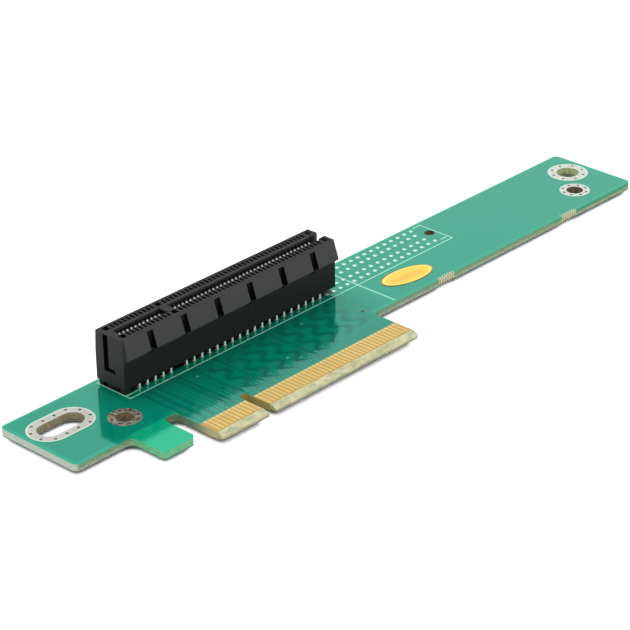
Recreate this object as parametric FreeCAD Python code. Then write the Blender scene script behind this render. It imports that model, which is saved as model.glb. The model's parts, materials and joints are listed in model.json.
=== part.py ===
"""Riser card: a routed circuit board with a bevelled finger edge and a moulded card slot, in millimetres.

The X axis runs along the board, Y from the finger edge to the rear edge and Z up. The origin is the middle of
the board's footprint, at the height of the lowest solder tail. Stations along X are measured from the centre
of the first contact of the finger row, which the slot above it shares.
"""
import math
import os

import FreeCAD
import Part

V = FreeCAD.Vector

# How far a cutting body runs past what it cuts
overcut = 1.0

# Board
board_length = 157.4
board_thickness = 1.6
board_width = 32.0
arm_width = 20.3
left_reach = 25.65
board_corner = 1.2

# Finger section and its key notch
contact_pitch = 1.0
short_bank_count = 11
long_bank_count = 38
key_gap = 2.0
finger_margin = 1.1
key_notch_width = 1.9
key_notch_depth = 8.1
key_notch_corner = 0.9
tip_corner = 0.6
bevel_length = 1.4
bevel_angle = 20.0
finger_width = 0.7
finger_length = 4.0
finger_from_tip = 1.9
finger_thickness = 0.05

# Hooked retention tab beside the fingers
relief_width = 3.3
relief_top = 19.8
relief_corner = 1.35
tab_width = 7.9
tab_reach = 28.6
tab_chamfer = 0.85
tab_small_corner = 0.5
tab_inner_corner = 1.4
arm_inner_corner = 0.6

# Break-off half holes on the front edge of the right arm
bite_radius = 0.3
bite_inset = 0.3
bite_pitch = 0.75
bite_count = 6
bite_stations = (72.6, 111.0)

# Fixing holes and the ring pads around them
pad_thickness = 0.06
large_pad_radius = 4.27
large_hole_radius = 2.35
small_pad_radius = 3.2
small_hole_radius = 1.75
large_hole_row = 7.55
small_hole_row = 14.2
mounting_slot_station = -17.7
mounting_slot_travel = 5.4
tooling_hole_station = -8.25
corner_hole_inset = 5.25
small_hole_inset = 11.25

# Slot housing
slot_end_wall = 3.0
slot_height = 11.25
slot_row = 4.93
slot_top_width = 6.9
slot_ledge_width = 9.5
slot_wall_width = 7.4
ledge_height = 7.4
ledge_underside = 6.5
standoff = 1.15
foot_inset = 0.3
foot_size = 1.1
end_foot_length = 0.5
end_foot_width = 1.4
card_gap = 1.75
card_gap_depth = 8.4
card_clearance = 0.25
mouth_chamfer = 0.6
key_bar = 1.7
chamber_width = 0.6
chamber_inner = 1.57
chamber_outer = 2.87
chamber_lid = 0.75
chamber_undercut = 0.1
tail_slope_top = 0.6
tail_slope_bottom = 1.05
end_pocket_width = 1.2
left_pocket_shift = -0.1
right_pocket_shift = 0.4
rib_notch_width = 1.5
rib_notch_lid = 0.5
rib_notch_bite = 0.15
rib_notch_drop = 0.2
rib_notch_pitch = 8.57
rib_notch_first = 3.85
rib_notch_count = 6
end_notch_width = 2.0
end_notch_depth = 3.2
slit_width = 1.3
slit_depth = 0.8
slit_row = 4.05
slit_bottom = 3.6
slit_top = 11.0
slit_foot = 1.6
slit_foot_height = 0.85
peg_radius = 1.05
peg_depth = 1.3
peg_clearance = 0.05
band_inset = 0.5
band_root = 0.5
rear_band_start = 2.6
end_peg_station = 51.0
spare_peg_station = 85.0

# Sprung contacts
outer_row = 3.25
inner_row = 1.25
contact_width = 0.45
contact_thickness = 0.3
tail_below_board = 1.0
tail_clearance = 0.04
contact_gap = 0.4
contact_back_clearance = 0.08
outer_tail_height = 1.85
outer_blade_height = 3.25
inner_tail_height = 3.25
inner_blade_height = 4.25
contact_point_height = 10.1
contact_tip_height = 10.6
contact_tip_curl = 0.25

# Unused holes of the longer footprint
spare_last_outer = 83
spare_last_inner = 82
land_radius = 0.5
land_height = 0.15
land_sides = 8

# Print and label
ink_thickness = 0.02
ink_width = 0.28
outline_left = -2.9
outline_right = 86.3
outline_rear = 1.15
outline_front = 8.7
front_line = 9.93
left_tick = 3.4
rear_tick = 1.4
right_tick = 2.0
ink_break = 0.75
divider_station = 58.05
divider_width = 0.35
divider_end = 19.5
sticker_length = 12.6
sticker_width = 5.75
sticker_turn = -6.8
sticker_station = 67.5
sticker_row = 14.4
sticker_thickness = 0.1

# Levels and lines worked out from the sizes
board_bottom = tail_below_board
board_top = board_bottom + board_thickness
first_contact = -board_length / 2 + left_reach
rear_edge = board_width / 2
contact_count = short_bank_count + long_bank_count
last_contact_station = (contact_count - 1) * contact_pitch + key_gap
slot_middle_station = last_contact_station / 2
slot_length = last_contact_station + 2 * slot_end_wall
corner_hole_station = board_length - left_reach - corner_hole_inset
small_hole_station = board_length - left_reach - small_hole_inset
key_station = (short_bank_count - 1) * contact_pitch + (contact_pitch + key_gap) / 2
finger_end_station = last_contact_station + finger_margin


def at_x(station):
    """X of a station measured from the first contact."""
    return first_contact + station


def at_y(row):
    """Y of a row measured forward from the board's rear edge."""
    return rear_edge - row


def contact_station(number):
    """Station of a contact, counted from 1, with the key gap after the short bank."""
    extra = key_gap if number > short_bank_count else 0.0
    return (number - 1) * contact_pitch + extra


def block(x0, x1, y0, y1, z0, z1):
    """Box between two corners."""
    return Part.makeBox(x1 - x0, y1 - y0, z1 - z0, V(x0, y0, z0))


def rounded_face(corners, level):
    """Flat face through corners (x, y, radius), each corner turned by an arc tangent to its two sides."""
    ends = []
    count = len(corners)
    for i, (x, y, radius) in enumerate(corners):
        here = V(x, y, level)
        before = V(corners[i - 1][0], corners[i - 1][1], level)
        after = V(corners[(i + 1) % count][0], corners[(i + 1) % count][1], level)
        if radius <= 0:
            ends.append((here, None, here))
            continue
        into = (before - here).normalize()
        out = (after - here).normalize()
        half = into.getAngle(out) / 2
        run = radius / math.tan(half)
        middle = (into + out).normalize() * (radius / math.sin(half) - radius)
        ends.append((here + into * run, here + middle, here + out * run))
    edges = []
    for i in range(count):
        start, middle, stop = ends[i]
        if middle is not None:
            edges.append(Part.Arc(start, middle, stop).toShape())
        following = ends[(i + 1) % count][0]
        if stop.distanceToPoint(following) > 1e-6:
            edges.append(Part.LineSegment(stop, following).toShape())
    return Part.Face(Part.Wire(edges))


def prism(points, length):
    """Solid with a profile of (x, y, z) points pushed along +X."""
    ring = [V(*p) for p in points]
    return Part.Face(Part.makePolygon(ring + ring[:1])).extrude(V(length, 0, 0))


def oblong(x, y, radius, travel, z0, z1):
    """Upright round or oblong post: a circle of the radius, stretched along X by the travel."""
    if travel <= 0:
        return Part.makeCylinder(radius, z1 - z0, V(x, y, z0))
    half = travel / 2
    a, b = V(x - half, y - radius, z0), V(x + half, y - radius, z0)
    c, d = V(x + half, y + radius, z0), V(x - half, y + radius, z0)
    edges = [Part.LineSegment(a, b).toShape(), Part.Arc(b, V(x + half + radius, y, z0), c).toShape(),
             Part.LineSegment(c, d).toShape(), Part.Arc(d, V(x - half - radius, y, z0), a).toShape()]
    return Part.Face(Part.Wire(edges)).extrude(V(0, 0, z1 - z0))


def post(station, row, radius, travel, z0, z1):
    """Round or oblong post at a place on the board."""
    return oblong(at_x(station), at_y(row), radius, travel, z0, z1)


def save(name, solids):
    """Write one node from a list of separate solids."""
    shape = solids[0] if len(solids) == 1 else Part.makeCompound(solids)
    shape.exportStep("parts/%s.step" % name)
    print("%-38s %4d solids %9.2f mm3" % (name, len(solids), shape.Volume))


# Station, row, pad radius, hole radius and travel of each fixing hole
FIXING_HOLES = (
    (mounting_slot_station, large_hole_row, large_pad_radius, large_hole_radius, mounting_slot_travel),
    (tooling_hole_station, small_hole_row, small_pad_radius, small_hole_radius, 0.0),
    (corner_hole_station, large_hole_row, large_pad_radius, large_hole_radius, 0.0),
    (small_hole_station, small_hole_row, small_pad_radius, small_hole_radius, 0.0),
)


def contact_rows():
    """Yield each row of the slot: name, side (-1 front, 1 rear), tail distance from the middle, stations."""
    for side, side_name in ((-1, "front"), (1, "rear")):
        for reach, reach_name, parity in ((outer_row, "outer", 1), (inner_row, "inner", 0)):
            numbers = range(1, contact_count + 1)
            for bank, bank_name in ((1, "short_bank"), (2, "long_bank")):
                stations = [contact_station(n) for n in numbers
                            if int(contact_station(n)) % 2 == parity and (n <= short_bank_count) == (bank == 1)]
                yield "slot_contacts_%s_%s_%s" % (side_name, reach_name, bank_name), side, reach, stations


def make_board():
    """Routed plate with its finger section, hooked tab, bevelled tip and drilled holes."""
    left, right = -board_length / 2, board_length / 2
    arm_front = rear_edge - arm_width
    tip = rear_edge - board_width
    fingers_left, fingers_right = at_x(-finger_margin), at_x(finger_end_station)
    notch_left = at_x(key_station) - key_notch_width / 2
    notch_right = at_x(key_station) + key_notch_width / 2
    relief_left = fingers_left - relief_width
    tab_left = relief_left - tab_width
    tab_front = rear_edge - tab_reach
    plate = rounded_face([
        (left, rear_edge, board_corner), (right, rear_edge, board_corner), (right, arm_front, board_corner),
        (fingers_right, arm_front, arm_inner_corner), (fingers_right, tip, tip_corner),
        (notch_right, tip, 0), (notch_right, tip + key_notch_depth, key_notch_corner),
        (notch_left, tip + key_notch_depth, key_notch_corner), (notch_left, tip, 0),
        (fingers_left, tip, tip_corner), (fingers_left, rear_edge - relief_top, relief_corner),
        (relief_left, rear_edge - relief_top, relief_corner), (relief_left, tab_front + tab_chamfer, 0),
        (relief_left - tab_chamfer, tab_front, 0), (tab_left, tab_front, tab_small_corner),
        (tab_left, arm_front, tab_inner_corner), (left, arm_front, board_corner),
    ], board_bottom).extrude(V(0, 0, board_thickness))

    start = fingers_left - overcut
    drop = (bevel_length + overcut) * math.tan(math.radians(bevel_angle))
    for level, side in ((board_top, 1), (board_bottom, -1)):
        wedge = prism([(start, tip + bevel_length, level), (start, tip - overcut, level + side * overcut),
                       (start, tip - overcut, level - side * drop)], fingers_right + overcut - start)
        plate = plate.cut(wedge)

    low, high = board_bottom - overcut, board_top + overcut
    drills = []
    for station, row, _, radius, travel in FIXING_HOLES:
        drills.append(post(station, row, radius, travel, low, high))
    for station in (key_station, end_peg_station, spare_peg_station):
        drills.append(post(station, slot_row, peg_radius + peg_clearance, 0.0, low, high))
    for middle in bite_stations:
        for i in range(bite_count):
            x = at_x(middle) + (i - (bite_count - 1) / 2) * bite_pitch
            drills.append(Part.makeCylinder(bite_radius, high - low, V(x, arm_front + bite_inset, low)))
            drills.append(block(x - bite_radius, x + bite_radius, arm_front - overcut, arm_front + bite_inset,
                                low, high))
    for _, side, reach, stations in contact_rows():
        y = at_y(slot_row) + side * reach
        for station in stations:
            drills.append(block(at_x(station) - contact_width / 2, at_x(station) + contact_width / 2,
                                y - contact_thickness / 2, y + contact_thickness / 2, low, high))
    return plate.cut(Part.makeCompound(drills))


def make_edge_contacts(level, up):
    """Row of flat fingers on one face of the finger section."""
    front = rear_edge - board_width + finger_from_tip
    z0, z1 = sorted((level, level + up * finger_thickness))
    fingers = []
    for n in range(1, contact_count + 1):
        x = at_x(contact_station(n))
        fingers.append(block(x - finger_width / 2, x + finger_width / 2, front, front + finger_length,
                             z0, z1))
    return fingers


def make_pads(level, up):
    """Flat ring pads around the fixing holes, on one face of the board."""
    z0, z1 = sorted((level, level + up * pad_thickness))
    pads = []
    for station, row, outer, hole, travel in FIXING_HOLES:
        ring = post(station, row, outer, travel, z0, z1)
        pads.append(ring.cut(post(station, row, hole, travel, z0 - overcut, z1 + overcut)))
    return pads


def make_housing():
    """Moulded card slot: plain body, sloped retention bands, chambers, card gap, key bar, feet and pegs."""
    middle = at_y(slot_row)
    left = at_x(slot_middle_station) - slot_length / 2
    right = left + slot_length
    under = board_top + standoff
    top = board_top + slot_height
    ledge = board_top + ledge_height
    neck = board_top + ledge_underside
    wall, crown, brim = slot_wall_width / 2, slot_top_width / 2, slot_ledge_width / 2

    body = prism([(left, middle - wall, under), (left, middle - wall, ledge), (left, middle - crown, top),
                  (left, middle + crown, top), (left, middle + wall, ledge), (left, middle + wall, under)],
                 slot_length)
    bands = []
    for side, start in ((-1, left + band_inset), (1, left + rear_band_start)):
        root = crown - band_root
        profile = [(root, top), (crown, top), (brim, ledge), (wall, neck), (root, neck)]
        bands.append(prism([(start, middle + side * d, z) for d, z in profile], right - start))
    feet = [block(right - foot_inset - end_foot_length, right - foot_inset, middle - end_foot_width / 2,
                  middle + end_foot_width / 2, board_top, under)]
    for side in (-1, 1):
        y0, y1 = sorted((middle + side * (wall - foot_inset - foot_size), middle + side * (wall - foot_inset)))
        feet.append(block(left + foot_inset, left + foot_inset + foot_size, y0, y1, board_top, under))
    pegs = [Part.makeCylinder(peg_radius, peg_depth + standoff, V(at_x(s), middle, board_top - peg_depth))
            for s in (key_station, end_peg_station)]
    body = body.fuse(bands + feet + pegs)

    cuts = []
    for side in (-1, 1):
        for i in range(rib_notch_count):
            x = at_x(rib_notch_first + i * rib_notch_pitch)
            y0, y1 = sorted((middle + side * (crown - rib_notch_bite), middle + side * (brim + overcut)))
            cuts.append(block(x - rib_notch_width / 2, x + rib_notch_width / 2, y0, y1,
                              neck - rib_notch_drop, top - rib_notch_lid))

    gap = card_gap / 2
    gap_left = at_x(-finger_margin - card_clearance)
    gap_right = at_x(finger_end_station + card_clearance)
    floor = top - card_gap_depth
    key = at_x(key_station)
    for x0, x1 in ((gap_left, key - key_bar / 2), (key + key_bar / 2, gap_right)):
        mouth = gap + mouth_chamfer
        half = [(gap, floor), (gap, top - mouth_chamfer), (mouth, top), (mouth, top + overcut)]
        profile = [(-d, z) for d, z in half] + half[::-1]
        cuts.append(prism([(x0, middle + d, z) for d, z in profile], x1 - x0))
    cuts.append(block(gap_right - overcut, right + overcut, middle - end_notch_width / 2,
                      middle + end_notch_width / 2, top - end_notch_depth, top + overcut))

    lid = top - chamber_lid
    inner = gap - chamber_undercut
    half_tail = contact_thickness / 2 + tail_clearance
    below = under - overcut
    for _, side, reach, stations in contact_rows():
        slope = [(chamber_outer, floor)]
        shoulder = floor
        if reach > chamber_outer:
            slope = [(chamber_outer, floor + tail_slope_top)]
            shoulder = floor - tail_slope_bottom
        path = [(chamber_inner, top + overcut), (chamber_outer, top + overcut)] + slope
        path += [(reach + half_tail, shoulder), (reach + half_tail, below), (reach - half_tail, below),
                 (reach - half_tail, shoulder)]
        path += [(inner, floor), (inner, lid), (chamber_inner, lid)]
        for station in stations:
            x = at_x(station) - chamber_width / 2
            cuts.append(prism([(x, middle + side * d, z) for d, z in path], chamber_width))
    for side in (-1, 1):
        y0, y1 = sorted((middle + side * chamber_inner, middle + side * chamber_outer))
        for x in (gap_left + left_pocket_shift, key, gap_right + right_pocket_shift):
            cuts.append(block(x - end_pocket_width / 2, x + end_pocket_width / 2, y0, y1, lid, top + overcut))

    slit_y = at_y(slit_row)
    cuts.append(block(left - overcut, left + slit_depth, slit_y - slit_width / 2, slit_y + slit_width / 2,
                      board_top + slit_bottom, board_top + slit_top))
    cuts.append(block(left - overcut, left + slit_depth, slit_y - slit_width / 2 - slit_foot, slit_y,
                      board_top + slit_bottom, board_top + slit_bottom + slit_foot_height))
    return body.cut(Part.makeCompound(cuts))


def strip(path, thickness, x, width, middle, side):
    """Bent strip: an open path of (distance from the middle, height) with mitred corners, pushed along X."""
    points = [V(0, d, z) for d, z in path]
    runs = [(b - a).normalize() for a, b in zip(points, points[1:])]
    lefts, rights = [], []
    for i, point in enumerate(points):
        before = runs[max(i - 1, 0)]
        after = runs[min(i, len(runs) - 1)]
        normal_before = V(0, -before.z, before.y)
        normal_after = V(0, -after.z, after.y)
        mitre = (normal_before + normal_after).normalize()
        reach = thickness / 2 / mitre.dot(normal_before)
        lefts.append(point + mitre * reach)
        rights.append(point - mitre * reach)
    ring = lefts + rights[::-1]
    return prism([(x - width / 2, middle + side * p.y, p.z) for p in ring], width)


def make_contact(station, side, reach):
    """One sprung contact: tail through the board, blade up the chamber, bow into the card gap, curled tip."""
    back = chamber_outer - contact_thickness / 2 - contact_back_clearance
    foot = [(reach, board_top + inner_tail_height), (back, board_top + inner_blade_height)]
    if reach > chamber_outer:
        foot = [(reach, board_top + outer_tail_height), (back, board_top + outer_blade_height)]
    point = contact_gap / 2 + contact_thickness / 2
    path = [(reach, 0.0)] + foot + [(point, board_top + contact_point_height),
                                    (point + contact_tip_curl, board_top + contact_tip_height)]
    return strip(path, contact_thickness, at_x(station), contact_width, at_y(slot_row), side)


def make_land(station, row):
    """Low peak of solder over one unused hole, on the top face."""
    turns = [2 * math.pi * (k + 0.5) / land_sides for k in range(land_sides)]
    ring = [V(at_x(station) + land_radius * math.cos(t), at_y(row) + land_radius * math.sin(t), board_top)
            for t in turns]
    peak = V(at_x(station), at_y(row), board_top + land_height)
    faces = [Part.Face(Part.makePolygon([a, b, peak, a])) for a, b in zip(ring, ring[1:] + ring[:1])]
    faces.append(Part.Face(Part.makePolygon(ring + ring[:1])))
    return Part.Solid(Part.Shell(faces))


def ink_line(s0, s1, r0, r1, width):
    """Printed line between two stations and two rows, its ends half a width past them."""
    half = width / 2
    return block(at_x(s0) - half, at_x(s1) + half, at_y(r1) - half, at_y(r0) + half,
                 board_top, board_top + ink_thickness)


def make_ink_lines():
    """Printed outline of the full slot footprint, where the slot leaves it in sight, and the front line."""
    right_start = outline_right - right_tick
    lines = [ink_line(s0, s1, r0, r1, ink_width) for s0, s1, r0, r1 in (
        (outline_left, outline_left, outline_rear, front_line),
        (outline_left, outline_left + left_tick, outline_front, outline_front),
        (outline_left, outline_left + rear_tick, outline_rear, outline_rear),
        (outline_left, outline_right, front_line, front_line),
        (outline_right, outline_right, outline_rear, front_line),
        (right_start, outline_right, outline_front, outline_front),
        (right_start, outline_right, outline_rear, outline_rear))]
    return [lines[0].fuse(lines[1:]).removeSplitter()]


def make_divider():
    """Printed line across the board past the slot's end, broken at the lands and the front line."""
    half = divider_width / 2
    front_land, rear_land = slot_row + inner_row, slot_row - inner_row
    breaks = [divider_end, front_line + ink_width / 2 + half, front_line - ink_width / 2 - half,
              front_land + ink_break, front_land - ink_break, rear_land + ink_break, rear_land - ink_break,
              outline_rear]
    return [ink_line(divider_station, divider_station, r0, r1, divider_width)
            for r1, r0 in zip(breaks[::2], breaks[1::2])]


def make_sticker():
    """Thin oval label, turned a little against the board."""
    oval = Part.Ellipse(V(0, 0, 0), sticker_length / 2, sticker_width / 2).toShape()
    label = Part.Face(Part.Wire([oval])).extrude(V(0, 0, sticker_thickness))
    label.rotate(V(0, 0, 0), V(0, 0, 1), sticker_turn)
    label.translate(V(at_x(sticker_station), at_y(sticker_row), board_top))
    return label


def main():
    os.makedirs("parts", exist_ok=True)
    save("circuit_board", [make_board()])
    save("edge_contacts_top", make_edge_contacts(board_top, 1))
    save("edge_contacts_bottom", make_edge_contacts(board_bottom, -1))
    save("slot_housing", [make_housing()])
    for name, side, reach, stations in contact_rows():
        save(name, [make_contact(station, side, reach) for station in stations])
    save("fixing_pads_top", make_pads(board_top, 1))
    save("fixing_pads_bottom", make_pads(board_bottom, -1))
    for name, row, last, parity in (
            ("front_outer", slot_row + outer_row, spare_last_outer, 1),
            ("front_inner", slot_row + inner_row, spare_last_inner, 0),
            ("rear_inner", slot_row - inner_row, spare_last_inner, 0),
            ("rear_outer", slot_row - outer_row, spare_last_outer, 1)):
        first = int(last_contact_station) + 2 - parity
        save("spare_lands_" + name, [make_land(s, row) for s in range(first, int(last) + 1, 2)])
    save("slot_outline_ink", make_ink_lines())
    save("divider_ink", make_divider())
    save("oval_sticker", [make_sticker()])


main()
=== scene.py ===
"""Riser card with a black card slot, dressed for a studio picture.

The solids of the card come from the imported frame. This script gives them their finishes, adds the solder at
the slot's tails, and sets the floor, the light and the camera. Places on the card are written as a station in
millimetres along the board from the centre of the first gold finger, and a row in millimetres forward from
the board's rear edge. A height is in millimetres above the floor.
"""
import functools
import json
import math
import operator
from collections import namedtuple

import bpy
import numpy as np
from mathutils import Matrix, Vector


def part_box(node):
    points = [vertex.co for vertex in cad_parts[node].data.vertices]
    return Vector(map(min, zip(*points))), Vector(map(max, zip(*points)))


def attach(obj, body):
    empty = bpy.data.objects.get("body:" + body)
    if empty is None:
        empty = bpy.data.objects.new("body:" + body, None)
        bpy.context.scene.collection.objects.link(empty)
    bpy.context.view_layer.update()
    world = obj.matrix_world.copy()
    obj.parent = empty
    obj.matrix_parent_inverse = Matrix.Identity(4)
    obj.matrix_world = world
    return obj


MM = 0.001

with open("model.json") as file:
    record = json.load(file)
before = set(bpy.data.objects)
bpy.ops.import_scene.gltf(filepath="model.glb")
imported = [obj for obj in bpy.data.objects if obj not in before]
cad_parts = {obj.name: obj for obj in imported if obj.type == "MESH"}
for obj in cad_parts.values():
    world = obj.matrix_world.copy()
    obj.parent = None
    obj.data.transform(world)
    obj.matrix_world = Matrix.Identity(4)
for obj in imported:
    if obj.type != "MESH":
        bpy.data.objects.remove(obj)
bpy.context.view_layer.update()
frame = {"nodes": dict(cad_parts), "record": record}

# Faces and lines of the card, from its own solids, in metres
BOARD_LOW, BOARD_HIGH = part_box("circuit_board")
FINGERS_LOW, FINGERS_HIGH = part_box("edge_contacts_top")
HOUSING_LOW, HOUSING_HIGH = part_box("slot_housing")
FINGER_WIDTH = 0.7 * MM
FIRST_FINGER = FINGERS_LOW[0] + FINGER_WIDTH / 2
LAST_FINGER = FINGERS_HIGH[0] - FINGER_WIDTH / 2
REAR_EDGE = BOARD_HIGH[1]
BOARD_TOP = BOARD_HIGH[2]
BOARD_BOTTOM = BOARD_LOW[2]

# The same faces as heights, and the ends of the board and of the housing as stations
TOP_HEIGHT = BOARD_TOP / MM
BOTTOM_HEIGHT = BOARD_BOTTOM / MM
MIDDLE_HEIGHT = (BOARD_TOP + BOARD_BOTTOM) / 2 / MM
HALF_THICKNESS = (BOARD_TOP - BOARD_BOTTOM) / MM / 2
HOUSING_TOP = HOUSING_HIGH[2] / MM
LEFT_END = (BOARD_LOW[0] - FIRST_FINGER) / MM
RIGHT_END = (BOARD_HIGH[0] - FIRST_FINGER) / MM
HOUSING_LEFT = (HOUSING_LOW[0] - FIRST_FINGER) / MM
HOUSING_RIGHT = (HOUSING_HIGH[0] - FIRST_FINGER) / MM

# Contacts of the slot: odd stations have their tails in the outer rows, even ones in the inner rows
CONTACT_PITCH = 1.0
CONTACT_WIDTH = 0.45
LAST_STATION = round((LAST_FINGER - FIRST_FINGER) / MM)
LAST_SPARE_STATION = 83
KEY_STATIONS = (11, 12)
SLOT_ROW = 4.93
OUTER_TAILS, INNER_TAILS = 3.25, 1.25
# The contacts are painted dark as shade inside the housing, from the top of the bright tails up to the crests
BRIGHT_TAIL = 1.5
CREST_LOW, CREST_HIGH = 10.0, 10.38
SHEARED_SKIN = 0.01

# Housing: foot of the sloped bands, card gap, chambers, end walls, rib notches and slit of the left end
BAND_FOOT = TOP_HEIGHT + 6.6
GAP_REACH, GAP_RIM = 1.35, 0.3
CHAMBER_REACH = (1.5, 2.9)
CHAMBER_RIM, BAND_RIM, TOP_SKIN = 0.1, 0.05, 0.03
HOUSING_ROUGHNESS, HOUSING_UNEVEN = 0.55, 0.12
END_SKIN, END_WALL = 0.1, 0.9
FIRST_NOTCH, LAST_NOTCH, NOTCH_PITCH = 3.85, 46.7, 8.57
NOTCH_REACH, NOTCH_MARGIN = 0.76, 1.0
NOTCH_LOW, NOTCH_HIGH = BAND_FOOT + 0.3, HOUSING_TOP - 0.48
SLIT_STATIONS = (HOUSING_LEFT + 0.04, HOUSING_LEFT + 0.88)
SLIT_ROW, SLIT_REACH, SLIT_RIM = 4.05, 0.68, 0.04

# Board: the finger section with its bare laminate and bevel, the tab, and the paler border of the arms
FACE_SKIN = 0.02
FINGER_MARGIN = 1.1
SECTION_LEFT, SECTION_RIGHT = -FINGER_MARGIN, LAST_STATION + FINGER_MARGIN
MASK_END = 25.9
FINGER_REAR, GOLD_TIP_LENGTH = 26.1, 0.35
BEVEL_START = 30.3
ARM_FRONT = 20.3
BORDER_WIDTH, REAR_BORDER, REAR_RIM = 0.9, 0.6, 0.25
TAB_LEFT, TAB_PLANE_RIGHT, TAB_EDGE_RIGHT = -12.6, -4.4, -4.6
TAB_PLANE_ROW, TAB_EDGE_ROW = 19.6, 20.9
KEY_NOTCH_STATIONS, KEY_NOTCH_ROW = (9.0, 14.0), 23.0
FLANK_STATIONS, FLANK_ROW, FLANK_PALE_ROW = (-4.0, 1.0), 19.0, 26.0
LEFT_END_WIDTH = 0.6
# Painted shade along the foot of the cut edges, and along the lower half of the tip's edge
EDGE_SHADE_RISE, TIP_EDGE_SHADE_DROP = 0.22, 0.12
# Smear of mask on the edges: its share everywhere, what the far arm adds, and its share on the fibres
SMEAR, ARM_SMEAR, FIBRE_SMEAR = 0.45, 0.5, 0.6
SMEARED_ARM, SMEAR_RISE = 107.0, 0.05

# Mask painted darker: over the wiring, with painted housing shade, and on the left arm and under the housing
# as painted shade
WIRED_AND_SHADED_STATIONS, WIRED_AND_SHADED_ROW = (8.0, 55.0), 9.0
SHADED_ARM, SHADED_ARM_SHARE = -11.0, 0.6
HOUSING_SHADE_MARGIN, HOUSING_SHADE_REACH = 0.1, 3.55

# Gloss of the mask, roughness of what is cut or bare, and relief in millimetres
MASK_METALLIC, MASK_POLISH, CUT_ROUGHNESS = 0.42, 0.46, 0.55
MASK_COAT, TAB_COAT_LOSS, WIRED_AND_SHADED_COAT_LOSS = 0.22, 0.2, 0.15
RIPPLE_HEIGHT, TRACE_RELIEF, GRAIN_HEIGHT = 0.012, 0.02, 0.03

# Snapped ties along the front edge: first half hole of each, pitch of the half holes and pitches in a tie
SNAPPED_EDGES = (70.725, 109.125)
BITE_PITCH, TIE_PITCHES = 0.75, 5.5
TIE_MARGIN, TIE_DEPTH = 0.4, 0.7

# Wavy traces between the slot and the fingers: middle station, first row and last row
WAVY_TRACES = ((15.5, 12.5, 24.6), (20.4, 11.8, 24.6), (24.55, 11.2, 24.6), (28.8, 11.0, 24.0),
               (34.5, 10.8, 23.6), (38.7, 10.8, 23.0), (43.0, 10.8, 22.4), (46.9, 10.8, 21.6))
WAVE_HEIGHT, WAVE_PERIOD, WAVE_START_ROW = 1.1, 4.75, 14.35
WAVE_FLATNESS, WAVE_HALF_WIDTH, WAVE_FADE = 0.5, 0.68, 0.16
# Straight traces: middle station, half width and darkness
STRAIGHT_TRACES = ((-0.6, 0.25, 0.9), (1.3, 0.3, 0.9), (3.2, 0.2, 0.9), (7.4, 0.3, 0.9), (8.6, 0.4, 0.9),
                   (12.4, 0.35, 0.8), (17.9, 0.4, 0.7), (31.6, 0.5, 0.7), (49.5, 0.3, 0.35))
TRACE_ROWS = (10.3, 25.4)
TRACE_DARKNESS, PATCHY_DARKNESS = 0.55, 0.4
# Fine streaks at the fingers: stations, rows and softness of the rows in each area
STREAK_AREAS = (((-1.0, 12.0), (11.0, TRACE_ROWS[1]), 0.4),
                ((-1.0, SECTION_RIGHT), (23.2, TRACE_ROWS[1] + 0.4), 0.8))
STREAK_PITCH, STREAK_SHIFT, STREAK_HALF_WIDTH, STREAK_DARKNESS = 1.0, 0.25, 0.17, 0.45

# Holes of the board that the mask covers: station, row, radius and strength
DARK_VIAS = ((50.4, 18.15, 0.42, 0.9), (50.9, 13.0, 0.25, 0.5), (51.8, 15.1, 0.22, 0.4),
             (11.0, 19.6, 0.25, 0.6), (20.0, 19.9, 0.25, 0.6), (47.6, 13.6, 0.22, 0.4),
             (46.0, 16.8, 0.22, 0.4))
PALE_VIAS = ((38.8, 13.0, 0.25, 0.6), (27.3, 20.4, 0.28, 0.6), (11.0, 13.0, 0.25, 0.6))

# Sticker: middle, length, width and turn in degrees
STICKER_STATION, STICKER_ROW = 67.5, 14.4
STICKER_LENGTH, STICKER_WIDTH, STICKER_TURN = 12.6, 5.75, 6.8
# Parts of the sticker's half width or length: middle and reaches of the flush, inner lines of rim and edge
FLUSH_MIDDLE, FLUSH_ACROSS, FLUSH_ALONG = 0.15, 0.3, 0.6
LABEL_RIM_START, LABEL_EDGE_START = 0.84, 0.955

# Small holes in the ring pads: circles about the round holes, and rows beside and beyond the long one
LARGE_DOT_CIRCLE, SMALL_DOT_CIRCLE, CIRCLE_DOTS = 3.4, 2.5, 8
SIDE_DOT_STATIONS, SIDE_DOT_ROW = (-4.1, -1.37, 1.37, 4.1), 3.25
END_DOT_STATION, END_DOT_ROWS = 5.9, (-1.4, 1.4)
DOT_RADIUS, DOT_DEPTH, MOTTLE_HEIGHT = 0.27, 0.1, 0.02
# Pads: margin about the tooling hole's, width of a rim, and station where the tone changes
PAD_MARGIN, PAD_RIM, PAD_CHANGE = 0.5, 0.3, 60.0

# Turned pieces of solder: radius and distance from the board's face along the profile
COLLAR_SIDES = 10
TOP_COLLAR = ((0.44, 0.0), (0.42, 0.03), (0.3, 0.04), (0.24, 0.1))
BOTTOM_CONE = ((0.62, 0.0), (0.56, 0.12), (0.36, 0.4), (0.24, 0.8), (0.12, 0.95))
SPARE_BEAD = ((0.56, 0.0), (0.42, 0.08), (0.16, 0.14))

# Light and floor, in metres and watts
SKY_STRENGTH = 0.9
LAMP_SIZE, LAMP_POWER, LAMP_PLACE = 0.5, 2.2, (0.1, 0.3, 0.65)
FLOOR_REACH = 3.0
SHADOW_REACH, SHADOW_EDGE, FLOOR_GLOW = 2.5 * MM, 0.27, 0.85

# Camera solved on the photograph, in pixels of a picture 630 wide, degrees and millimetres
PICTURE_WIDTH, FOCAL = 630, 2729.3
AZIMUTH, ELEVATION, ROLL = -46.216, 27.414, -1.028
SHIFT_RIGHT, SHIFT_UP, DISTANCE = -38.671, -11.104, 502.32
SENSOR_WIDTH = 36.0


def colour(red, green, blue):
    """Linear colour of a screen colour given from 0 to 255."""
    parts = [c / 255 for c in (red, green, blue)]
    return tuple(c / 12.92 if c <= 0.04045 else ((c + 0.055) / 1.055) ** 2.4 for c in parts) + (1.0,)


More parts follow.
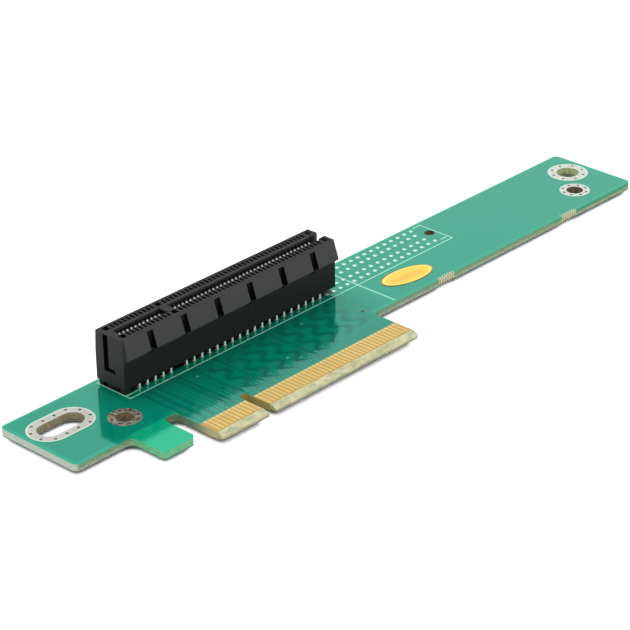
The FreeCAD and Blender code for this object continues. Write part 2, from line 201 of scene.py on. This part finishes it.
# Colours of the solder mask
PLANE_GREEN = colour(0, 157, 128)
# Darker green over the wiring, partly painted shade of the housing
WIRED_AND_SHADED_GREEN = colour(0, 147, 120)
BORDER_GREEN = colour(0, 166, 132)
CLEAR_GREEN = colour(0, 188, 140)
RIM_GREEN = colour(140, 220, 196)
# Painted shade under the housing
HOUSING_SHADE_GREEN = colour(2, 34, 28)
TRACE_GREEN = colour(0, 112, 97)
VIA_GREEN = colour(10, 62, 52)
PALE_VIA_GREEN = colour(150, 230, 200)
# Colours of the bare laminate and the cut edges
LAMINATE_SAND = colour(186, 146, 78)
BEVEL_CREAM = colour(206, 202, 160)
BEVEL_OLIVE = colour(168, 170, 132)
EDGE_CREAM = colour(186, 200, 172)
EDGE_OLIVE = colour(140, 156, 126)
EDGE_MOSS = colour(132, 146, 102)
MASK_EDGE_GREEN = colour(46, 158, 114)
# Painted highlight of the left end face
LEFT_END_HIGHLIGHT_CREAM = colour(214, 226, 210)
TAB_EDGE_GREEN = colour(80, 196, 140)
TAB_EDGE_MINT = colour(128, 214, 160)
NOTCH_OLIVE = colour(176, 158, 84)
FLANK_GREEN = colour(98, 124, 98)
FLANK_CREAM = colour(204, 196, 146)
SNAPPED_CREAM = colour(236, 234, 200)
# Painted shade at the foot of the edges
EDGE_FOOT_SHADE = colour(84, 78, 62)
# Colours of the walls of the fixing holes
HOLE_OLIVE = colour(172, 160, 128)
HOLE_GREEN = colour(204, 228, 166)
HOLE_TAN = colour(150, 130, 96)
HOLE_BROWN = colour(84, 70, 48)
# Colours of the gold, the tinned strip and the solder
GOLD_DEEP = colour(200, 170, 92)
GOLD_LIGHT = colour(220, 194, 116)
GOLD_TIP = colour(226, 226, 168)
TIN_BRIGHT = colour(255, 255, 253)
TIN_SHEARED = colour(124, 118, 104)
TIN_PAINTED_SHADE = colour(34, 32, 28)
SOLDER = colour(170, 208, 188)
LAND_SOLDER = colour(156, 196, 178)
# Colours of the ring pads
LEFT_PAD_DEEP = colour(162, 162, 152)
LEFT_PAD_LIGHT = colour(190, 190, 180)
RIGHT_PAD_DEEP = colour(186, 191, 181)
RIGHT_PAD_LIGHT = colour(214, 219, 209)
MOTTLE_DEEP = colour(78, 71, 60)
MOTTLE_LIGHT = colour(154, 147, 132)
PAD_RIM_MINT = colour(200, 222, 206)
DOT_BROWN = colour(48, 44, 36)
# Colours of the moulding: one black painted lighter and darker by face as light and shade, and painted black
# as shade in its openings
HOUSING_END_PAINTED_LIGHT = colour(44, 44, 44)
HOUSING_LOWER_PAINTED_SHADE = colour(24, 26, 25)
HOUSING_BAND_PAINTED_LIGHT = colour(70, 70, 70)
HOUSING_RIM = colour(33, 33, 33)
# Painted shade in the openings
HOUSING_HOLLOW_SHADE = colour(6, 6, 6)
# Colours of the ink and the label
INK_MINT = colour(146, 222, 194)
LABEL_LIGHT = colour(248, 204, 68)
LABEL_DEEP = colour(247, 196, 60)
LABEL_FLUSH = colour(238, 150, 50)
LABEL_RIM = colour(250, 226, 96)
LABEL_EDGE = colour(186, 122, 40)
# Colours of the floor and its shadow
FLOOR_GREY = (0.5, 0.5, 0.5, 1.0)
SHADOW_GREY = (0.1, 0.1, 0.09, 1.0)
WHITE = (1.0, 1.0, 1.0, 1.0)

# Holes through the board: place, ring pad, radius, travel of a long hole, colour of the wall and share of
# dark brown patches on it
Hole = namedtuple("Hole", "station row pad radius travel wall dirt")
CORNER_HOLE = Hole(126.5, 7.55, pad=4.27, radius=2.35, travel=0.0, wall=HOLE_GREEN, dirt=0.55)
SMALL_HOLE = Hole(120.5, 14.2, pad=3.2, radius=1.75, travel=0.0, wall=HOLE_TAN, dirt=0.9)
TOOLING_HOLE = Hole(-8.25, 14.2, pad=3.2, radius=1.75, travel=0.0, wall=HOLE_TAN, dirt=0.8)
MOUNTING_SLOT = Hole(-17.7, 7.55, pad=4.27, radius=2.35, travel=5.4, wall=HOLE_OLIVE, dirt=0.5)
PEG_HOLE = Hole(85.0, SLOT_ROW, pad=0.0, radius=1.1, travel=0.0, wall=HOLE_TAN, dirt=1.0)
RINGED_HOLES = (CORNER_HOLE, SMALL_HOLE, TOOLING_HOLE, MOUNTING_SLOT)
WALL_MARGIN = 0.3


class Field:
    """A number or colour that varies over a surface. An operator on it adds a Math node."""

    def __init__(self, finish, socket):
        self.finish = finish
        self.socket = socket

    def __add__(self, other):
        return self.finish.math("ADD", self, other)

    def __sub__(self, other):
        return self.finish.math("SUBTRACT", self, other)

    def __rsub__(self, other):
        return self.finish.math("SUBTRACT", other, self)

    def __mul__(self, other):
        return self.finish.math("MULTIPLY", self, other)

    def __truediv__(self, other):
        return self.finish.math("DIVIDE", self, other)

    def __or__(self, other):
        """Larger of two masks."""
        return self.finish.math("MAXIMUM", self, other)

    def __and__(self, other):
        """Smaller of two masks."""
        return self.finish.math("MINIMUM", self, other)

    def __abs__(self):
        return self.finish.math("ABSOLUTE", self)

    __radd__ = __add__
    __rmul__ = __mul__

    def sine(self):
        return self.finish.math("SINE", self)

    def tanh(self):
        return self.finish.math("TANH", self)

    def root(self):
        return self.finish.math("SQRT", self)

    def off_pitch(self, pitch):
        """Distance from the nearest of many places that are a pitch apart, one of them at 0."""
        return self.finish.math("PINGPONG", self, pitch / 2)

    def past(self, edge, soft):
        """Mask that rises from 0 to 1 over the soft width about an edge."""
        edges = {"Value": self, "From Min": edge - soft / 2, "From Max": edge + soft / 2}
        return self.finish.field("ShaderNodeMapRange", {"clamp": True}, edges)

    def before(self, edge, soft):
        """Mask that falls from 1 to 0 over the soft width about an edge."""
        return 1.0 - self.past(edge, soft)

    def inside(self, low, high, soft):
        """Mask that is 1 between two edges."""
        return self.past(low, soft) - self.past(high, soft)


class Finish:
    """One material: a Principled surface and the fields that feed it."""

    def __init__(self, name, **sockets):
        self.material = bpy.data.materials.new(name)
        self.material.use_nodes = True
        self.tree = self.material.node_tree
        self.surface = self.tree.nodes["Principled BSDF"]
        self.set(**sockets)

    def feed(self, socket, value):
        """Link a field to a socket, or set the socket to a plain value."""
        if isinstance(value, Field):
            self.tree.links.new(value.socket, socket)
        else:
            socket.default_value = value

    def set(self, **sockets):
        """Feed sockets of the surface, named with _ for each space."""
        for name, value in sockets.items():
            self.feed(self.surface.inputs[name.replace("_", " ")], value)

    def node(self, kind, settings, inputs):
        """New node of a kind, with its settings and then the values or links of its sockets."""
        node = self.tree.nodes.new(kind)
        for name, value in settings.items():
            setattr(node, name, value)
        for key, value in inputs.items():
            self.feed(node.inputs[key], value)
        return node

    def field(self, kind, settings, inputs, output=0):
        """Field that one output of a new node gives."""
        return Field(self, self.node(kind, settings, inputs).outputs[output])

    def math(self, operation, *values):
        """Field of a Math node on its values."""
        return self.field("ShaderNodeMath", {"operation": operation}, dict(enumerate(values)))

    def mix(self, mask, under, over, share=1.0):
        """Colour that goes from one to another with the mask, as far as the share allows."""
        if share != 1.0:
            mask = mask * share
        # The colours of a Mix node are its inputs 6 and 7 and its output 2.
        return self.field("ShaderNodeMix", {"data_type": "RGBA"}, {0: mask, 6: under, 7: over}, output=2)

    def point(self):
        """Surface point in metres."""
        return self.field("ShaderNodeTexCoord", {}, {}, output="Object")

    def place(self):
        """Station, row and height of the surface point."""
        split = self.node("ShaderNodeSeparateXYZ", {}, {"Vector": self.point()})
        x, y, z = (Field(self, socket) for socket in split.outputs)
        return (x - FIRST_FINGER) / MM, (REAR_EDGE - y) / MM, z / MM

    def noise(self, scale, detail=2.0, stretch=(1.0, 1.0, 1.0)):
        """Smooth noise from 0 to 1. Features are about 1/scale metres, longer where stretch is under 1."""
        point = self.field("ShaderNodeMapping", {}, {"Vector": self.point(), "Scale": stretch})
        return self.field("ShaderNodeTexNoise", {}, {"Vector": point, "Scale": scale, "Detail": detail})

    def patches(self, soft, **kind):
        """Mask of the noise's higher half."""
        return self.noise(**kind).past(0.5, soft)

    def bump(self, height, distance, strength=1.0):
        """Relief of the height field over a distance in metres."""
        relief = {"Height": height, "Distance": distance, "Strength": strength}
        self.set(Normal=self.field("ShaderNodeBump", {}, relief))


def any_of(masks):
    """Largest of several masks."""
    return functools.reduce(operator.or_, masks)


def reach(station, row, at_station, at_row, travel=0.0):
    """Distance from a place, or from a line of the travel's length along the board that it halves."""
    along = abs(station - at_station)
    if travel:
        along = (along - travel / 2) | 0.0
    across = row - at_row
    return (along * along + across * across).root()


def hole_reach(station, row, hole):
    """Distance from the middle of a hole, or from the middle line of a long one."""
    return reach(station, row, hole.station, hole.row, hole.travel)


def discs(station, row, places, soft):
    """Mask of round spots, each given by its station, row, radius and strength."""
    return any_of([reach(station, row, at_station, at_row).before(radius, soft) * strength
                   for at_station, at_row, radius, strength in places])


def wavy_line(row):
    """How far a wavy trace is from its middle station at a row, and its slope there.

    The distance is the wave's height times tanh(flatness times the sine of the turns), over the tanh of the
    flatness. The slope is its derivative by the row.
    """
    turns = (row - WAVE_START_ROW) * (2 * math.pi / WAVE_PERIOD)
    bend = (turns.sine() * WAVE_FLATNESS).tanh()
    crest = WAVE_HEIGHT / math.tanh(WAVE_FLATNESS)
    steepness = crest * WAVE_FLATNESS * 2 * math.pi / WAVE_PERIOD
    slope = (turns + math.pi / 2).sine() * (1.0 - bend * bend) * steepness
    return bend * crest, slope


def trace_mask(station, row):
    """Mask of the copper traces under the solder mask: wavy pairs, straight runs and fine streaks."""
    wave, slope = wavy_line(row)
    slant = (slope * slope + 1.0).root()
    fade = 1.0 - abs(slope) * WAVE_FADE
    traces = []
    for middle, first, last in WAVY_TRACES:
        off = abs(station - middle - wave) / slant
        traces.append((off.before(WAVE_HALF_WIDTH, soft=0.75) * fade) & row.inside(first, last, soft=1.2))
    for middle, half_width, darkness in STRAIGHT_TRACES:
        line = abs(station - middle).before(half_width, soft=0.6)
        traces.append((line & row.inside(*TRACE_ROWS, soft=0.3)) * darkness)
    streak = (station + STREAK_SHIFT).off_pitch(STREAK_PITCH).before(STREAK_HALF_WIDTH, soft=0.2)
    areas = any_of([station.inside(*stations, soft=0.4) & row.inside(*rows, soft=soft)
                    for stations, rows, soft in STREAK_AREAS])
    traces.append(streak & (areas * STREAK_DARKNESS))
    return any_of(traces)


def plane_colour(f, station, row, section, tab, wired_and_shaded):
    """Green of the mask without its traces: paler at the arms' borders, on the tab and at the rear rim."""
    borders = any_of([station.before(LEFT_END + BORDER_WIDTH, soft=0.5),
                      station.past(RIGHT_END - BORDER_WIDTH, soft=0.5),
                      row.before(REAR_BORDER, soft=0.4),
                      row.past(ARM_FRONT - BORDER_WIDTH, soft=0.5) & (1.0 - section)])
    green = f.mix(wired_and_shaded, PLANE_GREEN, WIRED_AND_SHADED_GREEN)
    green = f.mix(borders, green, BORDER_GREEN)
    green = f.mix(tab, green, CLEAR_GREEN)
    return f.mix(row.before(REAR_RIM, soft=0.15), green, RIM_GREEN, share=0.5)


def edge_colour(f, station, row, height, grain):
    """Cream and olive of the routed edges, with mask smeared over their upper half."""
    fibres = f.patches(scale=900.0, detail=3.0, stretch=(1.0, 1.0, 2.0), soft=0.25)
    upper = (height - MIDDLE_HEIGHT).past(SMEAR_RISE, soft=0.4)
    smear = (station.past(SMEARED_ARM, soft=8.0) * ARM_SMEAR + SMEAR) * upper
    edge = f.mix(grain.past(0.5, soft=0.3), EDGE_OLIVE, EDGE_CREAM)
    edge = f.mix(upper, edge, EDGE_MOSS, share=0.5)
    edge = f.mix(smear | (upper * fibres * FIBRE_SMEAR), edge, MASK_EDGE_GREEN)
    # The left end face painted paler, as a highlight
    edge = f.mix(station.before(LEFT_END + LEFT_END_WIDTH, soft=0.6), edge, LEFT_END_HIGHLIGHT_CREAM, share=0.8)
    tab = station.inside(TAB_LEFT, TAB_EDGE_RIGHT, soft=0.1) & row.past(TAB_EDGE_ROW, soft=1.0)
    edge = f.mix(tab, edge, f.mix(fibres, TAB_EDGE_GREEN, TAB_EDGE_MINT), share=0.85)
    notch = station.inside(*KEY_NOTCH_STATIONS, soft=0.5) & row.past(KEY_NOTCH_ROW, soft=0.5)
    edge = f.mix(notch, edge, NOTCH_OLIVE, share=0.85)
    flank = station.inside(*FLANK_STATIONS, soft=0.4) & row.past(FLANK_ROW, soft=1.0)
    flank_tone = f.mix(row.past(FLANK_PALE_ROW, soft=4.0), FLANK_GREEN, FLANK_CREAM)
    return f.mix(flank, edge, flank_tone, share=0.8)


def snapped_mask(station, row):
    """Mask of the ridges between the half holes of the snapped ties.

    The ridges are where the sine of the station over the pitch of the half holes is high.
    """
    ridges = []
    for first in SNAPPED_EDGES:
        comb = ((station - first) * (-2 * math.pi / BITE_PITCH) - math.pi / 2).sine().past(0.1, soft=0.8)
        ridges.append(comb & station.inside(first - TIE_MARGIN, first + TIE_PITCHES * BITE_PITCH, soft=0.1))
    return any_of(ridges) & row.past(ARM_FRONT - TIE_DEPTH, soft=0.2)


def finish_board():
    """Gloss green mask over copper, bare laminate at the fingers and pale cut edges."""
    f = Finish("gloss green board", Specular_IOR_Level=0.45, Coat_Roughness=0.04, Coat_IOR=1.5)
    station, row, height = f.place()
    face = abs(height - MIDDLE_HEIGHT).past(HALF_THICKNESS - FACE_SKIN, soft=0.01)
    section = station.inside(SECTION_LEFT, SECTION_RIGHT, soft=0.02)
    bare = section & row.past(MASK_END, soft=0.12)
    tip = section & row.past(BEVEL_START, soft=0.1)
    tab = station.inside(TAB_LEFT, SECTION_LEFT, soft=0.3) & row.past(TAB_PLANE_ROW, soft=0.4)
    on_tab_plane = tab & station.inside(TAB_LEFT, TAB_PLANE_RIGHT, soft=0.3)
    # Mask painted darker and less glossy: over the wiring, partly as painted housing shade, and on the left
    # arm as painted shade
    wired_and_shaded = station.inside(*WIRED_AND_SHADED_STATIONS, soft=6.0) & row.past(WIRED_AND_SHADED_ROW, soft=2.0)
    wired_and_shaded = wired_and_shaded | (station.before(SHADED_ARM, soft=4.0) * SHADED_ARM_SHARE)
    # Painted shade under and beside the housing: dark green, without gloss
    painted_housing_shade = station.inside(HOUSING_LEFT + HOUSING_SHADE_MARGIN, HOUSING_RIGHT - HOUSING_SHADE_MARGIN, soft=0.3)
    painted_housing_shade = painted_housing_shade & abs(row - SLOT_ROW).before(HOUSING_SHADE_REACH, soft=1.1)
    patchy = f.patches(scale=200.0, detail=1.0, soft=0.6) * PATCHY_DARKNESS + TRACE_DARKNESS
    traces = (trace_mask(station, row) & section) * patchy
    snapped = snapped_mask(station, row)
    grain = f.noise(scale=3200.0, detail=3.0, stretch=(1.0, 1.0, 0.6))

    green = plane_colour(f, station, row, section, tab, wired_and_shaded)
    green = f.mix(painted_housing_shade, green, HOUSING_SHADE_GREEN)
    green = f.mix(traces, green, TRACE_GREEN)
    green = f.mix(discs(station, row, DARK_VIAS, soft=0.2), green, VIA_GREEN)
    green = f.mix(discs(station, row, PALE_VIAS, soft=0.2), green, PALE_VIA_GREEN)
    blotch = f.patches(scale=1100.0, detail=3.0, stretch=(0.6, 1.0, 1.0), soft=0.3)
    bevel = f.mix(blotch, BEVEL_OLIVE, BEVEL_CREAM)
    laminate = f.mix(row.past(BEVEL_START, soft=0.1), LAMINATE_SAND, bevel)
    top = f.mix(bare, green, laminate)
    top = f.mix(snapped, top, SNAPPED_CREAM, share=0.8)

    edge = edge_colour(f, station, row, height, grain)
    edge = f.mix(tip, edge, bevel)
    edge = f.mix(snapped, edge, SNAPPED_CREAM)
    rough = f.patches(scale=1400.0, detail=3.0, soft=0.3)
    for hole in (*RINGED_HOLES, PEG_HOLE):
        wall = hole_reach(station, row, hole).before(hole.radius + WALL_MARGIN, soft=0.1)
        edge = f.mix(wall, edge, f.mix(rough, hole.wall, HOLE_BROWN, share=hole.dirt))
    # Painted shade along the foot of the cut edges and the lower half of the tip
    painted_edge_shade = height.before(BOTTOM_HEIGHT + EDGE_SHADE_RISE, soft=0.1)
    painted_edge_shade = painted_edge_shade | (tip & height.before(MIDDLE_HEIGHT - TIP_EDGE_SHADE_DROP, soft=0.1))
    edge = f.mix(painted_edge_shade, edge, EDGE_FOOT_SHADE, share=0.85)

    gloss = face & (1.0 - (bare | painted_housing_shade))
    coat = gloss * (MASK_COAT - ((on_tab_plane * TAB_COAT_LOSS) | (wired_and_shaded * WIRED_AND_SHADED_COAT_LOSS)))
    f.set(Base_Color=f.mix(face, edge, top), Metallic=gloss * MASK_METALLIC,
          Roughness=CUT_ROUGHNESS - gloss * MASK_POLISH, Coat_Weight=coat)
    combed = f.noise(scale=900.0, stretch=(1.0, 0.08, 1.0)) * section
    ripple = f.noise(scale=120.0) * RIPPLE_HEIGHT + traces * TRACE_RELIEF + combed * RIPPLE_HEIGHT
    f.bump(ripple * gloss + grain * (1.0 - gloss) * GRAIN_HEIGHT, MM)
    return f.material


def finish_gold():
    """Satin gold plate, paler at the rear tips."""
    f = Finish("finger gold", Metallic=0.55, Roughness=0.4)
    _, row, _ = f.place()
    wear = f.noise(scale=700.0, detail=3.0, stretch=(1.0, 0.3, 1.0))
    gold = f.mix(wear, GOLD_DEEP, GOLD_LIGHT)
    f.set(Base_Color=f.mix(row.before(FINGER_REAR + GOLD_TIP_LENGTH, soft=0.5), gold, GOLD_TIP, share=0.7))
    return f.material


def finish_moulding():
    """Fine satin black nylon, with painted light and shade: greyer on its sloped bands and left end as
    painted light, darker below the bands as painted shade, and black in its openings as painted shade.

    The openings are the card gap, the chambers of the contacts, the rib notches and the slit in the left end.
    """
    f = Finish("black moulding", Specular_IOR_Level=0.25)
    station, row, height = f.place()
    # Painted light on the sloped bands and the left end face, painted shade on the wall below the bands
    side = station.past(HOUSING_LEFT + END_SKIN, soft=0.1)
    band = height.past(BAND_FOOT, soft=0.8) & height.before(HOUSING_TOP - BAND_RIM, soft=0.05)
    painted_light_and_shade = f.mix(band & side, f.mix(side, HOUSING_END_PAINTED_LIGHT, HOUSING_LOWER_PAINTED_SHADE), HOUSING_BAND_PAINTED_LIGHT)
    painted_light_and_shade = f.mix(height.past(HOUSING_TOP - TOP_SKIN, soft=0.02), painted_light_and_shade, HOUSING_RIM)

    # The card gap, the chambers, the rib notches and the slit are painted black as shade
    across = abs(row - SLOT_ROW)
    gap = across.before(GAP_REACH, soft=0.1) & height.before(HOUSING_TOP - GAP_RIM, soft=0.1)
    chambers = across.inside(*CHAMBER_REACH, soft=0.04) & height.before(HOUSING_TOP - CHAMBER_RIM, soft=0.04)
    painted_hollow_shade = (gap | chambers) & station.inside(HOUSING_LEFT + END_WALL, HOUSING_RIGHT - END_WALL, soft=0.1)
    notches = (station - FIRST_NOTCH).off_pitch(NOTCH_PITCH).before(NOTCH_REACH, soft=0.02)
    notches = notches & station.inside(FIRST_NOTCH - NOTCH_MARGIN, LAST_NOTCH + NOTCH_MARGIN, soft=0.1)
    notches = notches & height.inside(NOTCH_LOW, NOTCH_HIGH, soft=0.04)
    slit = station.inside(*SLIT_STATIONS, soft=0.04) & abs(row - SLIT_ROW).before(SLIT_REACH, soft=0.04)
    slit = slit & height.before(HOUSING_TOP - SLIT_RIM, soft=0.02)
    f.set(Base_Color=f.mix(any_of([painted_hollow_shade, notches, slit]), painted_light_and_shade, HOUSING_HOLLOW_SHADE),
          Roughness=f.noise(scale=2500.0) * HOUSING_UNEVEN + HOUSING_ROUGHNESS)
    f.bump(f.noise(scale=9000.0), 0.01 * MM, strength=0.6)
    return f.material


def finish_contacts():
    """Bright tinned strip with duller sheared sides. Between the tails and the crests it is painted dark, as
    shade inside the housing.
    """
    f = Finish("bright contact strip", Metallic=0.2, Roughness=0.3)
    station, _, height = f.place()
    above = height - TOP_HEIGHT
    # Painted shade inside the housing
    between = above.past(BRIGHT_TAIL, soft=0.5) & (1.0 - above.inside(CREST_LOW, CREST_HIGH, soft=0.12))
    sheared = station.off_pitch(CONTACT_PITCH).past(CONTACT_WIDTH / 2 - SHEARED_SKIN, soft=0.01)
    f.set(Base_Color=f.mix(between, f.mix(sheared, TIN_BRIGHT, TIN_SHEARED), TIN_PAINTED_SHADE))
    return f.material


def pad_dots():
    """Places of the pads' small holes: on circles about the round holes, and in lines about the long one."""
    dots = []
    for hole, circle in ((CORNER_HOLE, LARGE_DOT_CIRCLE), (SMALL_HOLE, SMALL_DOT_CIRCLE),
                         (TOOLING_HOLE, SMALL_DOT_CIRCLE)):
        for k in range(CIRCLE_DOTS):
            turn = 2 * math.pi * (k + 0.5) / CIRCLE_DOTS
            dots.append((hole.station + circle * math.cos(turn), hole.row + circle * math.sin(turn)))
    middle, row = MOUNTING_SLOT.station, MOUNTING_SLOT.row
    for side in (-1, 1):
        dots += [(middle + along, row + side * SIDE_DOT_ROW) for along in SIDE_DOT_STATIONS]
        dots += [(middle + side * END_DOT_STATION, row + across) for across in END_DOT_ROWS]
    return dots


def finish_pads():
    """Bare metal rings with small holes, greyer and mottled around the tooling hole, mint at the rim."""
    f = Finish("bare ring pads", Metallic=0.35, Roughness=0.42)
    station, row, _ = f.place()
    clouds = f.noise(scale=500.0)
    left = f.mix(clouds, LEFT_PAD_DEEP, LEFT_PAD_LIGHT)
    right = f.mix(clouds, RIGHT_PAD_DEEP, RIGHT_PAD_LIGHT)
    mottle = f.patches(scale=1800.0, detail=3.0, soft=0.3)
    grey = f.mix(mottle, MOTTLE_DEEP, MOTTLE_LIGHT)
    tooling = hole_reach(station, row, TOOLING_HOLE).before(TOOLING_HOLE.pad + PAD_MARGIN, soft=0.1)
    ring = f.mix(tooling, f.mix(station.past(PAD_CHANGE, soft=1.0), left, right), grey)
    rims = [abs(hole_reach(station, row, hole) - hole.pad).before(PAD_RIM, soft=0.2) for hole in RINGED_HOLES]
    ring = f.mix(any_of(rims) * (1.0 - tooling), ring, PAD_RIM_MINT, share=0.7)
    spots = any_of([reach(station, row, *dot).before(DOT_RADIUS, soft=0.12) for dot in pad_dots()])
    f.set(Base_Color=f.mix(spots, ring, DOT_BROWN))
    f.bump(spots * -DOT_DEPTH + mottle * MOTTLE_HEIGHT, MM)
    return f.material


def finish_label():
    """Yellow oval with a paler rim and a warm flush across its middle.

    u and v run from -1 to 1 along the oval and across it.
    """
    f = Finish("yellow label", Roughness=0.35)
    station, row, _ = f.place()
    along = station - STICKER_STATION
    across = row - STICKER_ROW
    turn = math.radians(STICKER_TURN)
    u = (along * math.cos(turn) + across * math.sin(turn)) / (STICKER_LENGTH / 2)
    v = (across * math.cos(turn) - along * math.sin(turn)) / (STICKER_WIDTH / 2)
    outward = (u * u + v * v).root()
    body = f.mix(f.patches(scale=350.0, soft=0.4), LABEL_LIGHT, LABEL_DEEP)
    flush = abs(v - FLUSH_MIDDLE).before(FLUSH_ACROSS, soft=0.4) * abs(u).before(FLUSH_ALONG, soft=0.4)
    body = f.mix(flush, body, LABEL_FLUSH, share=0.4)
    body = f.mix(outward.past(LABEL_RIM_START, soft=0.06), body, LABEL_RIM)
    f.set(Base_Color=f.mix(outward.past(LABEL_EDGE_START, soft=0.02), body, LABEL_EDGE))
    return f.material


def finish_ink():
    """Matt mint ink of the printed lines."""
    return Finish("pale ink", Base_Color=INK_MINT, Roughness=0.5).material


def finish_solder():
    """Bright solder of the lands and tails."""
    return Finish("bright solder", Base_Color=SOLDER, Metallic=0.25, Roughness=0.25).material


def finish_lands():
    """Thin dull solder that has crept over the lands at the tails."""
    return Finish("dull land solder", Base_Color=LAND_SOLDER, Metallic=0.3, Roughness=0.35).material


def finish_floor():
    """White floor with a narrow shadow.

    Its glow, which no diffuse bounce sees, dies where the card is close above.
    """
    f = Finish("white floor", Roughness=1.0, Specular_IOR_Level=0.0, Emission_Color=WHITE)
    path = f.node("ShaderNodeLightPath", {}, {})
    seen = Field(f, path.outputs["Is Camera Ray"]) | Field(f, path.outputs["Is Glossy Ray"])
    open_sky = f.field("ShaderNodeAmbientOcclusion", {"samples": 16}, {"Distance": SHADOW_REACH}, output="AO")
    open_sky = open_sky.past(SHADOW_EDGE, soft=0.08)
    f.set(Base_Color=f.mix(open_sky, SHADOW_GREY, FLOOR_GREY), Emission_Strength=seen * open_sky * FLOOR_GLOW)
    return f.material


def dress(solder):
    """Give each solid its finish, by its material slot, with the ring pads apart from the other solder."""
    pads = finish_pads()
    by_slot = {"green_laminate": finish_board(), "gold_plate": finish_gold(),
               "black_moulding": finish_moulding(), "tinned_contact": finish_contacts(),
               "solder_plate": solder, "white_ink": finish_ink(), "yellow_label": finish_label()}
    for row in frame["record"]["subparts"]:
        solid = frame["nodes"][row["node"]]
        finish = pads if row["node"].startswith("fixing_pads") else by_slot[row["material_slot"]]
        solid.data.materials.clear()
        solid.data.materials.append(finish)


def add_object(name, data):
    """Object at the origin in the scene, made of a mesh, lamp or lens."""
    made = bpy.data.objects.new(name, data)
    bpy.context.scene.collection.objects.link(made)
    return made


def tail_places(stations):
    """Middles in metres of the tails of the four staggered rows at some stations."""
    return [(FIRST_FINGER + station * MM, REAR_EDGE - (SLOT_ROW + side * distance) * MM)
            for side in (-1, 1) for distance, parity in ((OUTER_TAILS, 1), (INNER_TAILS, 0))
            for station in stations if station % 2 == parity]


def turned_pieces(name, places, profile, level, way, material):
    """Small turned pieces at many places, on a face of the board at a level in metres.

    Point k of ring j is (x + r_j cos t_k, y + r_j sin t_k, level + way times z_j), with t_k evenly round the
    circle. Quads join each ring to the next, and a flat face closes the first ring and the last. The way is 1
    for pieces that rise from the face and -1 for pieces that hang from it.
    """
    places = np.array(places)
    radii, rises = np.array(profile).T * MM
    rings, sides = len(profile), np.arange(COLLAR_SIDES)
    turns = 2 * np.pi * sides / COLLAR_SIDES
    points = np.empty((len(places), rings, COLLAR_SIDES, 3))
    points[..., 0] = places[:, 0, None, None] + radii[:, None] * np.cos(turns)
    points[..., 1] = places[:, 1, None, None] + radii[:, None] * np.sin(turns)
    points[..., 2] = level + way * rises[:, None]

    ring, side = np.meshgrid(np.arange(rings - 1) * COLLAR_SIDES, sides, indexing="ij")
    following = (side + 1) % COLLAR_SIDES
    quads = np.stack([ring + side, ring + following, ring + COLLAR_SIDES + following,
                      ring + COLLAR_SIDES + side], -1).reshape(-1, 4)
    last, first = (rings - 1) * COLLAR_SIDES + sides, sides[::-1]
    if way < 0:
        quads, last, first = quads[:, ::-1], last[::-1], first[::-1]
    offsets = np.arange(len(places))[:, None] * rings * COLLAR_SIDES
    faces = (offsets[:, None] + quads).reshape(-1, 4).tolist()
    faces += (offsets + last).tolist() + (offsets + first).tolist()

    mesh = bpy.data.meshes.new(name)
    mesh.from_pydata(points.reshape(-1, 3).tolist(), [], faces)
    mesh.polygons.foreach_set("use_smooth", [len(face) == 4 for face in faces])
    mesh.materials.append(material)
    piece = add_object(name, mesh)
    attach(piece, "root")


def add_solder(solder):
    """Solder at each tail above and below the board, and the lands of the unused holes below it."""
    used = tail_places([station for station in range(LAST_STATION + 1) if station not in KEY_STATIONS])
    spare = tail_places(range(LAST_STATION + 1, LAST_SPARE_STATION + 1))
    turned_pieces("tail_solder_top", used, TOP_COLLAR, BOARD_TOP, 1, finish_lands())
    turned_pieces("tail_solder_bottom", used, BOTTOM_CONE, BOARD_BOTTOM, -1, solder)
    turned_pieces("spare_solder_bottom", spare, SPARE_BEAD, BOARD_BOTTOM, -1, solder)


def light_scene():
    """Even pale surroundings and one broad lamp that looks at the middle of the floor."""
    world = bpy.data.worlds.new("surroundings")
    world.use_nodes = True
    background = world.node_tree.nodes["Background"]
    background.inputs["Color"].default_value = WHITE
    background.inputs["Strength"].default_value = SKY_STRENGTH
    bpy.context.scene.world = world
    lamp = bpy.data.lights.new("broad_lamp", "AREA")
    lamp.shape = "DISK"
    lamp.size = LAMP_SIZE
    lamp.energy = LAMP_POWER
    holder = add_object("broad_lamp", lamp)
    holder.location = LAMP_PLACE
    holder.rotation_euler = (-holder.location).to_track_quat("-Z", "Y").to_euler()


def add_floor():
    """Square floor under the card."""
    mesh = bpy.data.meshes.new("floor")
    corners = [(x * FLOOR_REACH, y * FLOOR_REACH, 0.0) for x, y in ((-1, -1), (1, -1), (1, 1), (-1, 1))]
    mesh.from_pydata(corners, [], [(0, 1, 2, 3)])
    mesh.materials.append(finish_floor())
    add_object("floor", mesh)


def add_camera():
    """Camera of the photograph: it looks against back, and is rolled about it from the level right and up."""
    azimuth, elevation, roll = (math.radians(angle) for angle in (AZIMUTH, ELEVATION, ROLL))
    back = Vector((math.sin(azimuth) * math.cos(elevation), -math.cos(azimuth) * math.cos(elevation),
                   math.sin(elevation)))
    right = Vector((math.cos(azimuth), math.sin(azimuth), 0.0))
    up = back.cross(right)
    turned_right = right * math.cos(roll) + up * math.sin(roll)
    turned_up = up * math.cos(roll) - right * math.sin(roll)
    # The picture was solved about the first finger's centre line, the board's rear edge and its top face.
    centre = Vector((FIRST_FINGER, REAR_EDGE, BOARD_TOP))
    centre += (turned_right * -SHIFT_RIGHT + turned_up * -SHIFT_UP + back * DISTANCE) * MM
    lens = bpy.data.cameras.new("camera")
    lens.sensor_width = SENSOR_WIDTH
    lens.lens = FOCAL * SENSOR_WIDTH / PICTURE_WIDTH
    lens.clip_start = 0.01
    lens.clip_end = 20.0
    camera = add_object("camera", lens)
    turn = Matrix((turned_right, turned_up, back)).transposed()
    camera.matrix_world = Matrix.Translation(centre) @ turn.to_4x4()
    bpy.context.scene.camera = camera


bright_solder = finish_solder()
dress(bright_solder)
add_solder(bright_solder)
light_scene()
add_floor()
add_camera()
bpy.context.scene.view_settings.view_transform = "Standard"
